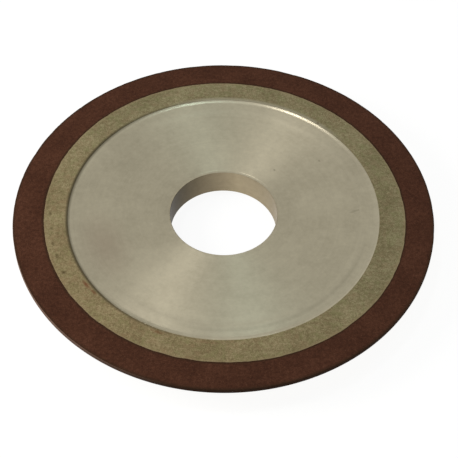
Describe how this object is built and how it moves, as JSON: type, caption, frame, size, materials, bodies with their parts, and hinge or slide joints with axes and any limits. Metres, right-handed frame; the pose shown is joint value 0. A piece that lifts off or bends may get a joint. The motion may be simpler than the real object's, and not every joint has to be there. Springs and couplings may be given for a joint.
{
  "type": "grinding wheel",
  "caption": "Flat-faced, dish-backed superabrasive grinding wheel with a turned aluminium core, a moulded backing ring, an abrasive rim and a plain centre bore.",
  "frame": {"origin": "on the bore's axis, in the plane of the hub's flat back face", "axes": "+Z along the bore's axis, from the hub's back face towards the grinding face; X and Y are any two square directions, as the wheel is round"},
  "size_m": [0.125, 0.125, 0.01],
  "materials": {
    "core": "satin",
    "backing": "matte",
    "abrasive": "matte"
  },
  "bodies": {
    "root": {"core": "core", "backing_ring": "backing", "abrasive_rim": "abrasive"}
  },
  "joints": []
}
